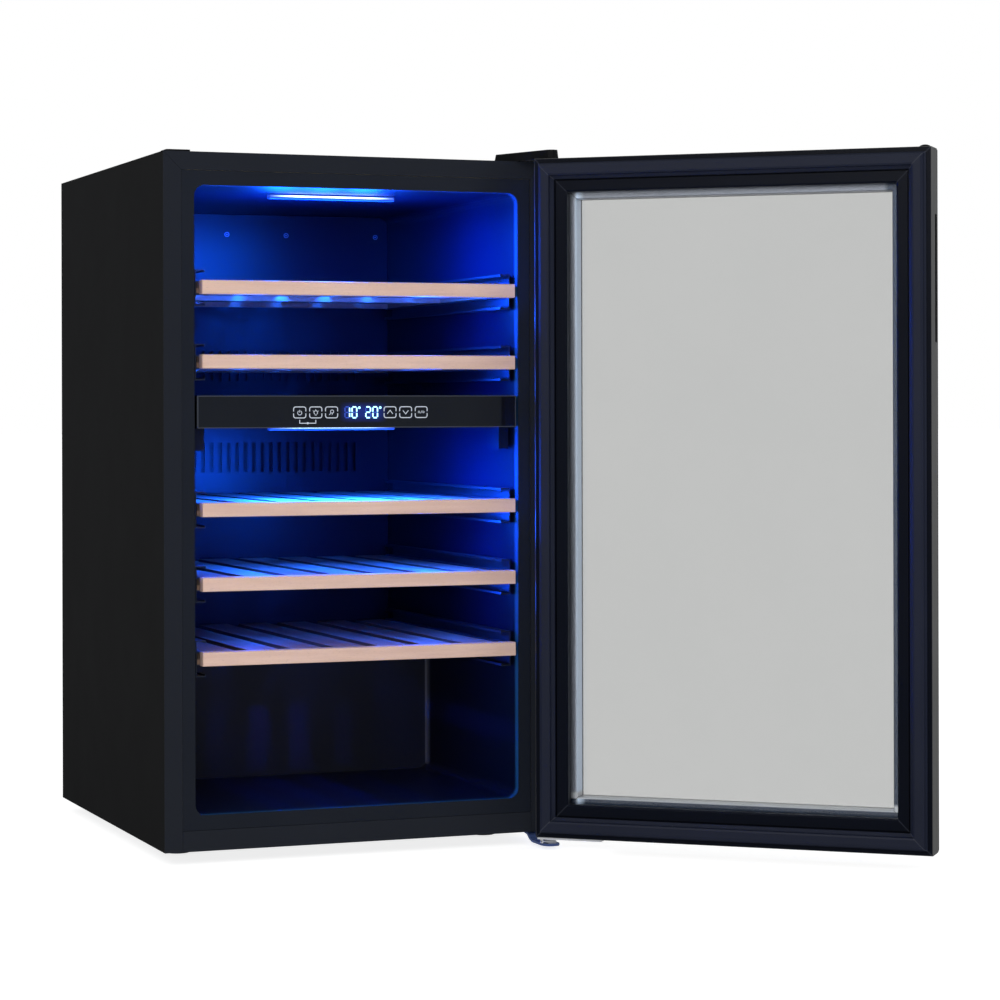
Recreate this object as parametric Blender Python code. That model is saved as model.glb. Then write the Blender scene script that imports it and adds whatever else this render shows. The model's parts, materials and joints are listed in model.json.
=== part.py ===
"""Free-standing two-zone wine cooler: cabinet, sliding shelves and a framed glass door that stands open.

Metres, +Z up. The cabinet's front faces -Y, its door is hung on the right (+X), and it stands on z = 0.
Everything is built with the cabinet's front left edge at x = 0, y = 0, and the whole is then moved so that
the middle of its bounding box is over the origin.
"""

import math

import bmesh
import bpy
from mathutils import Matrix, Vector

# ---- overall sizes
CABINET_WIDTH = 0.495
CABINET_HEIGHT = 0.842
CABINET_DEPTH = 0.545
FOOT_HEIGHT = 0.016
DOOR_THICKNESS = 0.040
DOOR_OPEN_DEG = 139.4

# ---- cabinet shell and liner
SHEET = 0.001
BASE_THICKNESS = 0.0015
CLEARANCE = 0.0003
FRONT_FLANGE = 0.022
RAIL_HEIGHT = 0.025
RAIL_RETURN = 0.012
OPENING_SIDE = 0.038
OPENING_TOP = 0.040
OPENING_BOTTOM = 0.043
OPENING_RADIUS = 0.013
LINER_WALL = 0.002
LINER_RECESS = 0.0005
BACK_INSULATION = 0.022
BAY_INSULATION = 0.025
STEP_DEPTH = 0.205
DUCT_DEPTH = 0.026

# ---- heights above the cabinet's underside, as shares of the cabinet's height
STEP_TOP = 0.2375 * CABINET_HEIGHT
DIVIDER_TOP = 0.6479 * CABINET_HEIGHT
LOWER_PITCH = 0.1068 * CABINET_HEIGHT
UPPER_PITCH = 0.1067 * CABINET_HEIGHT
FIRST_LOWER_SHELF = 0.0391
FIRST_UPPER_SHELF = 0.0525
LOWER_SHELVES = 3
UPPER_SHELVES = 2

# ---- divider, control panel and lamps
DIVIDER_THICKNESS = 0.034
DIVIDER_WALL = 0.003
PANEL_GLASS = 0.003
PANEL_HEIGHT = 0.0395
PANEL_SIDE_GAP = 0.0034
HOUSING_DEPTH = 0.018
LAMP_WIDTH = 0.165
LAMP_DEPTH = 0.012
LAMP_HEIGHT = 0.006
LAMP_SETBACK = 0.107

# ---- shelves and their rails
STRIP_HEIGHT = 0.017
STRIP_DEPTH = 0.016
STRIP_LEFT_GAP = 0.010
STRIP_RIGHT_GAP = 0.0045
RACK_GAP = 0.032
SLAT_COUNT = 7
SLAT_GAP = 0.0165
SLAT_THICKNESS = 0.008
SLAT_DROP = 0.002
CROSSBAR_HEIGHT = 0.006
CROSSBAR_DEPTH = 0.020
CHANNEL_HEIGHT = 0.044
CHANNEL_RISE = 0.013
CHANNEL_WIDTH = 0.0127
CHANNEL_SHEET = 0.0012
CHANNEL_LIP = 0.003
CHANNEL_SIDE_GAP = 0.0050
SLIDE_HEIGHT = 0.013

# ---- ventilation
SLOT_PITCH = 0.0122
SLOT_WIDTH = 0.005
SLOT_HEIGHT = 0.041
SLOT_COUNT = 27
FAN_RADIUS = 0.038
HUB_RADIUS = 0.016
HUB_DEPTH = 0.012
SPINDLE_RADIUS = 0.0016
SPINDLE_BORE = 0.0020
BLADES = 7

# ---- door
DOOR_GAP = 0.011
GLASS = 0.004
INNER_TRIM = 0.555 * DOOR_THICKNESS
HINGE_SIDE = 0.011
HINGE_DEPTH = 0.6875 * DOOR_THICKNESS
COVER_HEIGHT = 0.0105
COVER_NOSE = 0.009
COVER_BACK = 0.038
COVER_TAPER = 20.4
BOTTOM_PLATE_LENGTH = 0.083
PIN_RADIUS = 0.0025
PIN_HOLE = 0.0030
PIN_LENGTH = 0.014
SPACER_OUTER = 0.038
SPACER_INNER = 0.050
GRIP_LENGTH = 0.153
GRIP_DEPTH = 0.022
GRIP_SHARE = 0.8147
GRIP_WALL = 0.0006

# ---- derived positions
WIDTH = CABINET_WIDTH
DEPTH = CABINET_DEPTH
FLOOR = FOOT_HEIGHT
TOP = FOOT_HEIGHT + CABINET_HEIGHT
OPEN_LEFT = OPENING_SIDE
OPEN_RIGHT = WIDTH - OPENING_SIDE
OPEN_LOW = FLOOR + OPENING_BOTTOM
OPEN_HIGH = TOP - OPENING_TOP
LINER_BACK = DEPTH - BACK_INSULATION
STEP_FRONT = DEPTH - STEP_DEPTH
STEP_Z = FLOOR + STEP_TOP
DIVIDER_HIGH = FLOOR + DIVIDER_TOP
DIVIDER_LOW = DIVIDER_HIGH - DIVIDER_THICKNESS
DIVIDER_MID = (DIVIDER_HIGH + DIVIDER_LOW) / 2
DUCT_FACE = LINER_BACK - DUCT_DEPTH
RACK_BACK = DUCT_FACE - RACK_GAP
BAY_FRONT = STEP_FRONT + LINER_WALL + BAY_INSULATION
BAY_TOP = STEP_Z - LINER_WALL - BAY_INSULATION
BACK_SPLIT = BAY_TOP - 0.010
DOOR_LOW = FLOOR + SHEET
DOOR_HIGH = TOP - SHEET
DOOR_INNER_Y = -DOOR_GAP
DOOR_OUTER_Y = -DOOR_GAP - DOOR_THICKNESS
PIVOT_X = WIDTH - HINGE_SIDE
PIVOT_Y = DOOR_INNER_Y - HINGE_DEPTH
MIDDLE = WIDTH / 2


def clear_scene():
    for old in list(bpy.data.objects):
        bpy.data.objects.remove(old)


def named(obj, name, colour, roughness, metallic=0.0):
    """Gives a finished solid its node name and a material of its own."""
    obj.name = name
    obj.data.name = name
    material = bpy.data.materials.new(name)
    material.use_nodes = True
    shader = material.node_tree.nodes["Principled BSDF"]
    shader.inputs["Base Color"].default_value = (*colour, 1.0)
    shader.inputs["Roughness"].default_value = roughness
    shader.inputs["Metallic"].default_value = metallic
    material.diffuse_color = (*colour, 1.0)
    obj.data.materials.clear()
    obj.data.materials.append(material)
    return obj


def solid(bm):
    """A mesh object from a bmesh, with its faces turned outwards."""
    bmesh.ops.recalc_face_normals(bm, faces=bm.faces)
    mesh = bpy.data.meshes.new("solid")
    bm.to_mesh(mesh)
    bm.free()
    obj = bpy.data.objects.new("solid", mesh)
    bpy.context.scene.collection.objects.link(obj)
    return obj


def add_box(bm, low, high):
    made = bmesh.ops.create_cube(bm, size=1.0)
    size = Vector(high) - Vector(low)
    middle = (Vector(high) + Vector(low)) / 2
    bmesh.ops.scale(bm, vec=size, verts=made["verts"])
    bmesh.ops.translate(bm, vec=middle, verts=made["verts"])


def box(low, high):
    bm = bmesh.new()
    add_box(bm, low, high)
    return solid(bm)


def boxes(corners):
    """One mesh of several boxes that don't touch, for cutting."""
    bm = bmesh.new()
    for low, high in corners:
        add_box(bm, low, high)
    return solid(bm)


def on_axis(axis, along, a, b):
    """A point from its place along an axis and its two coordinates across it."""
    if axis == "x":
        return Vector((along, a, b))
    if axis == "y":
        return Vector((a, along, b))
    return Vector((a, b, along))


def prism(outline, axis, low, high, shrunk=None):
    """A closed outline extruded along an axis; shrunk is the outline at its far end, where that differs."""
    bm = bmesh.new()
    near = [bm.verts.new(on_axis(axis, low, a, b)) for a, b in outline]
    far = [bm.verts.new(on_axis(axis, high, a, b)) for a, b in shrunk or outline]
    bm.faces.new(near)
    bm.faces.new(far)
    for i in range(len(near)):
        j = (i + 1) % len(near)
        bm.faces.new((near[i], near[j], far[j], far[i]))
    return solid(bm)


def arc(centre, radius, start_deg, end_deg, steps):
    points = []
    for i in range(steps + 1):
        turn = math.radians(start_deg + (end_deg - start_deg) * i / steps)
        points.append((centre[0] + radius * math.cos(turn), centre[1] + radius * math.sin(turn)))
    return points


def rounded(low_a, high_a, low_b, high_b, radius, steps=5):
    outline = arc((high_a - radius, low_b + radius), radius, -90, 0, steps)
    outline += arc((high_a - radius, high_b - radius), radius, 0, 90, steps)
    outline += arc((low_a + radius, high_b - radius), radius, 90, 180, steps)
    outline += arc((low_a + radius, low_b + radius), radius, 180, 270, steps)
    return outline


def turned(profile, axis, centre, steps=24, bored=False):
    """A profile of (radius, place along the axis) turned about an axis. bored closes the profile on itself."""
    bm = bmesh.new()
    rings = []
    for radius, along in profile:
        if radius == 0:
            rings.append([bm.verts.new(on_axis(axis, along, *centre))])
            continue
        around = arc(centre, radius, 0, 360, steps)[:-1]
        rings.append([bm.verts.new(on_axis(axis, along, a, b)) for a, b in around])
    pairs = list(zip(rings, rings[1:]))
    if bored:
        pairs.append((rings[-1], rings[0]))
    for first, second in pairs:
        for i in range(steps):
            j = (i + 1) % steps
            corners = [first[i % len(first)], first[j % len(first)]]
            corners += [second[j % len(second)], second[i % len(second)]]
            bm.faces.new(list(dict.fromkeys(corners)))
    return solid(bm)


def rod(axis, centre, radius, low, high, steps=24):
    return turned([(0, low), (radius, low), (radius, high), (0, high)], axis, centre, steps)


def framed(profile, low_x, high_x, low_z, high_z):
    """A mitred rectangular ring. Each profile point is (distance in from the edge, y)."""
    bm = bmesh.new()
    corners = []
    for x, z, turn_x, turn_z in (
        (low_x, low_z, 1, 1),
        (high_x, low_z, -1, 1),
        (high_x, high_z, -1, -1),
        (low_x, high_z, 1, -1),
    ):
        ring = [bm.verts.new((x + turn_x * d, y, z + turn_z * d)) for d, y in profile]
        corners.append(ring)
    for k in range(4):
        here = corners[k]
        there = corners[(k + 1) % 4]
        for i in range(len(profile)):
            j = (i + 1) % len(profile)
            bm.faces.new((here[i], here[j], there[j], there[i]))
    return solid(bm)


def baked(obj):
    """The object's mesh as its modifiers leave it."""
    graph = bpy.context.evaluated_depsgraph_get()
    mesh = bpy.data.meshes.new_from_object(obj.evaluated_get(graph))
    obj.modifiers.clear()
    obj.data = mesh
    return obj


def combined(obj, tools, operation):
    for tool in tools:
        step = obj.modifiers.new("step", "BOOLEAN")
        step.operation = operation
        step.solver = "EXACT"
        step.object = tool
    baked(obj)
    for tool in tools:
        bpy.data.objects.remove(tool)
    return obj


def joined(obj, *tools):
    return combined(obj, tools, "UNION")


def cut(obj, *tools):
    return combined(obj, tools, "DIFFERENCE")


def tube(points, radius):
    """A round tube along a line of points, as one closed mesh."""
    curve = bpy.data.curves.new("tube", "CURVE")
    curve.dimensions = "3D"
    curve.bevel_depth = radius
    curve.bevel_resolution = 2
    curve.use_fill_caps = True
    line = curve.splines.new("POLY")
    line.points.add(len(points) - 1)
    for target, point in zip(line.points, points):
        target.co = (*point, 1.0)
    holder = bpy.data.objects.new("tube", curve)
    bpy.context.scene.collection.objects.link(holder)
    graph = bpy.context.evaluated_depsgraph_get()
    mesh = bpy.data.meshes.new_from_object(holder.evaluated_get(graph))
    bpy.data.objects.remove(holder)
    bm = bmesh.new()
    bm.from_mesh(mesh)
    bmesh.ops.remove_doubles(bm, verts=bm.verts, dist=1e-5)
    return solid(bm)


def cavity(grow, front):
    """The space inside the liner, grown by a wall, from a front plane to the back. It steps forward low down."""
    outline = rounded(
        OPEN_LEFT - grow,
        OPEN_RIGHT + grow,
        OPEN_LOW - grow,
        OPEN_HIGH + grow,
        OPENING_RADIUS + grow,
    )
    space = prism(outline, "y", front, LINER_BACK + grow)
    low = (-0.1, STEP_FRONT + grow, -0.1)
    high = (WIDTH + 0.1, DEPTH + 0.1, STEP_Z - grow)
    return cut(space, box(low, high))


def build_shell():
    inside = SHEET + CLEARANCE
    side_top = TOP - SHEET - CLEARANCE
    for side, sign in (("left", 1), ("right", -1)):
        edge = 0.0 if sign > 0 else WIDTH
        outline = [
            (edge, 0.0),
            (edge + sign * FRONT_FLANGE, 0.0),
            (edge + sign * FRONT_FLANGE, SHEET),
            (edge + sign * SHEET, SHEET),
            (edge + sign * SHEET, DEPTH),
            (edge, DEPTH),
        ]
        panel = prism(outline, "z", FLOOR, side_top)
        mitre = [
            (edge - sign * 0.005, TOP + 0.005 - CLEARANCE),
            (edge + sign * (FRONT_FLANGE + 0.005), TOP - FRONT_FLANGE - 0.005 - CLEARANCE),
            (edge + sign * (FRONT_FLANGE + 0.005), TOP + 0.01),
            (edge - sign * 0.005, TOP + 0.01),
        ]
        panel = cut(panel, prism(mitre, "y", -0.001, inside))
        named(panel, f"side_panel_{side}", (0.012, 0.012, 0.013), 0.42, 0.3)

    outline = [
        (0.0, TOP),
        (DEPTH, TOP),
        (DEPTH, TOP - SHEET),
        (SHEET, TOP - SHEET),
        (SHEET, TOP - FRONT_FLANGE),
        (0.0, TOP - FRONT_FLANGE),
    ]
    panel = prism(outline, "x", 0.0, WIDTH)
    tools = []
    for edge, sign in ((0.0, 1), (WIDTH, -1)):
        mitre = [
            (edge - sign * 0.005, TOP - SHEET - 0.0001),
            (edge + sign * (SHEET + 0.0001), TOP - SHEET - 0.0001),
            (edge + sign * (FRONT_FLANGE + 0.005), TOP - FRONT_FLANGE - 0.005),
            (edge - sign * 0.005, TOP - FRONT_FLANGE - 0.005),
        ]
        tools.append(prism(mitre, "y", -0.001, inside))
    panel = cut(panel, *tools)
    named(panel, "top_panel", (0.012, 0.012, 0.013), 0.42, 0.3)

    low = (inside, DEPTH - SHEET, BACK_SPLIT + CLEARANCE)
    high = (WIDTH - inside, DEPTH, TOP - SHEET - CLEARANCE)
    named(box(low, high), "back_panel", (0.05, 0.05, 0.052), 0.5, 0.5)

    low = (inside, inside, FLOOR)
    high = (WIDTH - inside, DEPTH - inside, FLOOR + BASE_THICKNESS)
    named(box(low, high), "base_plate", (0.10, 0.10, 0.105), 0.45, 0.8)

    outline = [
        (0.0, FLOOR),
        (0.0, FLOOR + RAIL_HEIGHT),
        (RAIL_RETURN, FLOOR + RAIL_HEIGHT),
        (RAIL_RETURN, FLOOR + RAIL_HEIGHT - SHEET),
        (SHEET, FLOOR + RAIL_HEIGHT - SHEET),
        (SHEET, FLOOR),
    ]
    rail = prism(outline, "x", FRONT_FLANGE + CLEARANCE, WIDTH - FRONT_FLANGE - CLEARANCE)
    named(rail, "bottom_front_rail", (0.02, 0.021, 0.023), 0.35, 0.4)


def build_liner():
    face_back = LINER_RECESS + LINER_WALL
    low = (FRONT_FLANGE + CLEARANCE, LINER_RECESS, FLOOR + RAIL_HEIGHT + CLEARANCE)
    high = (WIDTH - FRONT_FLANGE - CLEARANCE, face_back, TOP - FRONT_FLANGE - CLEARANCE)
    shell = joined(box(low, high), cavity(LINER_WALL, LINER_RECESS + 0.001))
    shell = cut(shell, cavity(0.0, -0.01))
    named(shell, "inner_liner", (0.016, 0.018, 0.022), 0.25)

    inside = SHEET + CLEARANCE
    low = (inside, face_back + CLEARANCE, FLOOR + BASE_THICKNESS + CLEARANCE)
    high = (WIDTH - inside, DEPTH - inside, TOP - inside)
    foam = box(low, high)
    bay = box((-0.1, BAY_FRONT, -0.1), (WIDTH + 0.1, DEPTH + 0.1, BAY_TOP))
    notch_high = (WIDTH + 0.1, RAIL_RETURN + CLEARANCE, FLOOR + RAIL_HEIGHT + CLEARANCE)
    notch = box((-0.1, -0.1, -0.1), notch_high)
    foam = cut(foam, cavity(LINER_WALL + CLEARANCE, -0.01), bay, notch)
    named(foam, "insulation_foam", (0.75, 0.66, 0.42), 0.9)

    front = BAY_FRONT + CLEARANCE
    high_z = BAY_TOP - CLEARANCE
    low_z = FLOOR + BASE_THICKNESS + CLEARANCE
    back = DEPTH - inside
    outline = [
        (front, low_z),
        (front, high_z),
        (back, high_z),
        (back, high_z - SHEET),
        (front + SHEET, high_z - SHEET),
        (front + SHEET, low_z),
    ]
    panel = prism(outline, "x", inside, WIDTH - inside)
    named(panel, "machine_bay_panel", (0.35, 0.36, 0.37), 0.4, 0.9)


def build_grille():
    inside = SHEET + CLEARANCE
    low_z = FLOOR + BASE_THICKNESS + CLEARANCE
    plate = box((inside, DEPTH - SHEET, low_z), (WIDTH - inside, DEPTH, BACK_SPLIT))
    slots = []
    for i in range(22):
        x = MIDDLE + 0.02 + (i - 10.5) * SLOT_PITCH
        slots.append(((x - 0.002, DEPTH - 0.01, low_z + 0.045), (x + 0.002, DEPTH + 0.01, BACK_SPLIT - 0.03)))
    inlet = (0.06, FLOOR + 0.045)
    hole = rod("y", inlet, 0.0083, DEPTH - 0.01, DEPTH + 0.01)
    plate = cut(plate, boxes(slots), hole)
    named(plate, "rear_grille", (0.05, 0.05, 0.052), 0.5, 0.5)
    profile = [
        (0.0040, DEPTH - 0.012),
        (0.0080, DEPTH - 0.012),
        (0.0080, DEPTH + CLEARANCE),
        (0.0120, DEPTH + CLEARANCE),
        (0.0110, DEPTH + 0.004),
        (0.0040, DEPTH + 0.004),
    ]
    gland = turned(profile, "y", inlet, bored=True)
    named(gland, "mains_inlet", (0.02, 0.02, 0.02), 0.6)


def build_divider():
    gap = 0.0006
    front = PANEL_GLASS + CLEARANCE + HOUSING_DEPTH + CLEARANCE
    low = (OPEN_LEFT + gap, front, DIVIDER_LOW)
    high = (OPEN_RIGHT - gap, DUCT_FACE - gap, DIVIDER_HIGH)
    hangers = []
    for x, sign in ((OPEN_LEFT + CHANNEL_SIDE_GAP, 1), (OPEN_RIGHT - CHANNEL_SIDE_GAP, -1)):
        sides = sorted((x, x + sign * CHANNEL_WIDTH))
        hanger_low = (sides[0], front + 0.001, DIVIDER_LOW - 0.030)
        hangers.append(box(hanger_low, (sides[1], front + 0.031, DIVIDER_LOW + 0.002)))
    divider = joined(box(low, high), *hangers)
    wall = DIVIDER_WALL
    room_low = (low[0] + wall, low[1] + wall, low[2] + wall)
    divider = cut(divider, box(room_low, (high[0] - wall, DEPTH, high[2] - wall)))
    named(divider, "zone_divider", (0.016, 0.018, 0.022), 0.22)

    panel_low = DIVIDER_MID - PANEL_HEIGHT / 2
    panel_high = DIVIDER_MID + PANEL_HEIGHT / 2
    left = OPEN_LEFT + PANEL_SIDE_GAP
    right = OPEN_RIGHT - PANEL_SIDE_GAP
    back = PANEL_GLASS + CLEARANCE + HOUSING_DEPTH
    housing = box((left, PANEL_GLASS + CLEARANCE, panel_low), (right, back, panel_high))
    pocket_low = (left + 0.015, 0.0, panel_low + 0.005)
    pocket = box(pocket_low, (right - 0.015, back - 0.006, panel_high - 0.005))
    named(cut(housing, pocket), "control_housing", (0.02, 0.02, 0.022), 0.4)
    outline = rounded(left, right, panel_low, panel_high, 0.001, 2)
    glass = prism(outline, "y", 0.0, PANEL_GLASS)
    named(glass, "control_glass", (0.01, 0.011, 0.013), 0.06)

    left = MIDDLE - LAMP_WIDTH / 2
    right = MIDDLE + LAMP_WIDTH / 2
    for name, ceiling in (("upper_lamp", OPEN_HIGH), ("lower_lamp", DIVIDER_LOW)):
        high_z = ceiling - CLEARANCE
        outline = rounded(LAMP_SETBACK, LAMP_SETBACK + LAMP_DEPTH, high_z - LAMP_HEIGHT, high_z, 0.002, 3)
        named(prism(outline, "x", left, right), name, (0.55, 0.75, 1.0), 0.2)


def fan(axis, centre, middle):
    """A seven-bladed rotor with a bored hub. centre is across the axis and middle is along it."""
    bm = bmesh.new()
    for i in range(BLADES):
        made = bmesh.ops.create_cube(bm, size=1.0)["verts"]
        inner = HUB_RADIUS - 0.003
        bmesh.ops.scale(bm, vec=(0.016, 0.0012, FAN_RADIUS - inner), verts=made)
        bmesh.ops.rotate(bm, matrix=Matrix.Rotation(math.radians(32), 3, "Z"), verts=made)
        bmesh.ops.translate(bm, vec=(0, 0, (FAN_RADIUS + inner) / 2), verts=made)
        spin = Matrix.Rotation(2 * math.pi * i / BLADES, 3, "Y")
        bmesh.ops.rotate(bm, matrix=spin, verts=made)
    blades = solid(bm)
    half = HUB_DEPTH / 2
    profile = [
        (SPINDLE_BORE, -half),
        (HUB_RADIUS, -half),
        (HUB_RADIUS, half),
        (SPINDLE_BORE, half),
    ]
    bore = rod("y", (0, 0), SPINDLE_BORE + 0.004, -0.02, 0.02, 16)
    rotor = joined(turned(profile, "y", (0, 0), 28, bored=True), cut(blades, bore))
    if axis == "x":
        rotor.data.transform(Matrix.Rotation(-math.pi / 2, 4, "Z"))
    rotor.location = on_axis(axis, middle, *centre)
    return rotor


def build_ducts():
    gap = 0.0006
    rim = LINER_BACK - CLEARANCE
    bands = (
        ("upper", DIVIDER_MID + CLEARANCE, OPEN_HIGH - gap, DIVIDER_HIGH + 0.026),
        ("lower", STEP_Z + gap, DIVIDER_MID - CLEARANCE, DIVIDER_LOW - 0.026 - SLOT_HEIGHT),
    )
    for zone, low_z, high_z, slot_low in bands:
        left = OPEN_LEFT + gap
        right = OPEN_RIGHT - gap
        cover = prism(rounded(left, right, low_z, high_z, OPENING_RADIUS - gap), "y", DUCT_FACE, rim)
        wall = LINER_WALL
        inner = rounded(left + wall, right - wall, low_z + wall, high_z - wall, OPENING_RADIUS - gap - wall)
        hollow = prism(inner, "y", DUCT_FACE + wall, rim + 0.01)
        slots = []
        for i in range(SLOT_COUNT):
            x = MIDDLE + (i - (SLOT_COUNT - 1) / 2) * SLOT_PITCH
            low = (x - SLOT_WIDTH / 2, DUCT_FACE - 0.01, slot_low)
            slots.append((low, (x + SLOT_WIDTH / 2, DUCT_FACE + 0.01, slot_low + SLOT_HEIGHT)))
        cover = cut(cover, hollow, boxes(slots))
        fan_centre = (MIDDLE, (slot_low + SLOT_HEIGHT + high_z) / 2)
        if zone == "lower":
            fan_centre = (MIDDLE, (slot_low + low_z) / 2)
        fan_middle = DUCT_FACE + wall + 0.004 + HUB_DEPTH / 2
        boss = rod("y", fan_centre, 0.010, DUCT_FACE + 0.001, DUCT_FACE + wall + 0.003)
        spindle = rod("y", fan_centre, SPINDLE_RADIUS, DUCT_FACE + 0.001, fan_middle + 0.007, 16)
        cover = joined(cover, boss, spindle)
        named(cover, f"{zone}_duct_cover", (0.014, 0.016, 0.020), 0.3)
        rotor = fan("y", fan_centre, fan_middle)
        named(rotor, f"{zone}_fan_rotor", (0.03, 0.03, 0.03), 0.5)


def build_machinery():
    base = FLOOR + BASE_THICKNESS + CLEARANCE
    room = BAY_TOP - base
    height = 0.88 * room
    centre = (WIDTH - 0.120, (BAY_FRONT + DEPTH) / 2)
    profile = [
        (0, base + 0.010),
        (0.050, base + 0.010),
        (0.064, base + 0.024),
        (0.068, base + 0.40 * height),
        (0.070, base + 0.42 * height),
        (0.070, base + 0.46 * height),
        (0.067, base + 0.48 * height),
        (0.064, base + 0.80 * height),
        (0.052, base + 0.93 * height),
        (0.030, base + 0.99 * height),
        (0, base + height),
    ]
    body = turned(profile, "z", centre, 32)
    low = (centre[0] - 0.085, centre[1] - 0.050, base)
    feet = box(low, (centre[0] + 0.085, centre[1] + 0.050, base + 0.016))
    arch = box((centre[0] - 0.060, centre[1] - 0.2, base - 0.01), (centre[0] + 0.060, centre[1] + 0.2, base + 0.012))
    feet = cut(feet, arch)
    low = (centre[0] - 0.084, centre[1] - 0.025, base + 0.045)
    terminal = box(low, (centre[0] - 0.055, centre[1] + 0.025, base + 0.090))
    body = joined(body, feet, terminal)
    named(body, "compressor", (0.015, 0.015, 0.016), 0.35, 0.2)

    x = 0.130
    near = BAY_FRONT + 0.030
    far = DEPTH - 0.030
    passes = 9
    pitch = (room - 0.035) / (passes - 1)
    points = []
    for i in range(passes):
        z = base + 0.012 + i * pitch
        start, end = (near, far) if i % 2 == 0 else (far, near)
        points.append((x, start, z))
        points.append((x, end, z))
        if i == passes - 1:
            continue
        out = 1 if end > start else -1
        for turn in (-54, -18, 18, 54):
            angle = math.radians(turn)
            y = end + out * pitch / 2 * math.cos(angle)
            points.append((x, y, z + pitch / 2 + pitch / 2 * math.sin(angle)))
    named(tube(points, 0.0024), "condenser_coil", (0.55, 0.27, 0.14), 0.35, 1.0)

    x = 0.180
    centre = ((BAY_FRONT + DEPTH) / 2, base + 0.5 * room)
    half = FAN_RADIUS + 0.012
    plate = box((x, centre[0] - half, base), (x + 0.003, centre[0] + half, centre[1] + half))
    ring = rod("x", centre, FAN_RADIUS + 0.004, x - 0.01, x + 0.01, 36)
    plate = cut(plate, ring)
    bar = box((x, centre[0] - 0.006, centre[1] - half + 0.002), (x + 0.003, centre[0] + 0.006, centre[1] + half - 0.002))
    motor = rod("x", centre, 0.014, x - 0.014, x + 0.002)
    spindle = rod("x", centre, SPINDLE_RADIUS, x + 0.001, x + 0.019, 16)
    bracket = joined(plate, bar, motor, spindle)
    named(bracket, "condenser_fan_bracket", (0.03, 0.03, 0.03), 0.5)
    rotor = fan("x", centre, x + 0.003 + 0.0035 + HUB_DEPTH / 2)
    named(rotor, "condenser_fan_rotor", (0.03, 0.03, 0.03), 0.5)


def build_feet():
    for row, y in (("front", 0.110), ("rear", DEPTH - 0.040)):
        for side, x in (("left", 0.045), ("right", WIDTH - 0.045)):
            profile = [
                (0, 0),
                (0.0150, 0),
                (0.0170, 0.0015),
                (0.0170, 0.45 * FOOT_HEIGHT),
                (0.0060, 0.60 * FOOT_HEIGHT),
                (0.0060, FOOT_HEIGHT - CLEARANCE),
                (0, FOOT_HEIGHT - CLEARANCE),
            ]
            foot = turned(profile, "z", (x, y))
            named(foot, f"foot_{row}_{side}", (0.02, 0.02, 0.02), 0.7)


def hinge_outline(inset):
    """The top hinge's plan: straight at the side, tapering forward to a rounded nose ahead of the pin."""
    radius = COVER_NOSE - inset
    centre = (WIDTH - 0.013, PIVOT_Y - 0.0105)
    nose = arc(centre, radius, 0, -180 + COVER_TAPER, 8)
    back = COVER_BACK - inset
    last = nose[-1]
    back_left = last[0] - (back - last[1]) * math.tan(math.radians(COVER_TAPER))
    return [(centre[0] + radius, back), *nose, (back_left, back)]


def build_hinges():
    base = TOP + CLEARANCE
    bracket = prism(hinge_outline(0.002), "z", base, base + 0.003)
    pivot = (PIVOT_X, PIVOT_Y)
    pin = rod("z", pivot, PIN_RADIUS, DOOR_HIGH - PIN_LENGTH, base + 0.002)
    named(joined(bracket, pin), "top_hinge_bracket", (0.5, 0.5, 0.52), 0.3, 1.0)
    cover = prism(hinge_outline(0), "z", base, base + COVER_HEIGHT, hinge_outline(0.0012))
    room = prism(hinge_outline(0.0016), "z", base - 0.01, base + 0.003 + CLEARANCE)
    named(cut(cover, room), "top_hinge_cover", (0.015, 0.015, 0.016), 0.35)

    outline = [
        (0.075, FLOOR - CLEARANCE),
        (0.016, FLOOR - CLEARANCE),
        (0.007, FLOOR - 0.0020),
        (0.001, FLOOR - 0.0065),
        (-0.006, FLOOR - 0.0090),
        (PIVOT_Y - 0.0135, FLOOR - 0.0090),
        (PIVOT_Y - 0.0135, FLOOR - 0.0120),
        (-0.007, FLOOR - 0.0120),
        (0.003, FLOOR - 0.0092),
        (0.010, FLOOR - 0.0046),
        (0.018, FLOOR - 0.0033),
        (0.075, FLOOR - 0.0033),
    ]
    arm = prism(outline, "x", PIVOT_X - 0.013, WIDTH - 0.001)
    plan = [(PIVOT_X - 0.014, 0.080), (PIVOT_X - 0.014, PIVOT_Y)]
    plan += arc((PIVOT_X - 0.001, PIVOT_Y), 0.0115, 180, 360, 12)
    plan += [(WIDTH, 0.080)]
    arm = combined(arm, [prism(plan, "z", FLOOR - 0.02, FLOOR + 0.02)], "INTERSECT")
    pin = rod("z", pivot, PIN_RADIUS, FLOOR - 0.010, DOOR_LOW + PIN_LENGTH)
    named(joined(arm, pin), "bottom_hinge_bracket", (0.55, 0.56, 0.58), 0.28, 1.0)

    outline = rounded(0.005, 0.035, 0.004, 0.034, 0.003, 3)
    named(prism(outline, "z", base, base + 0.002), "hinge_hole_cover", (0.02, 0.02, 0.021), 0.4)


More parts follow.
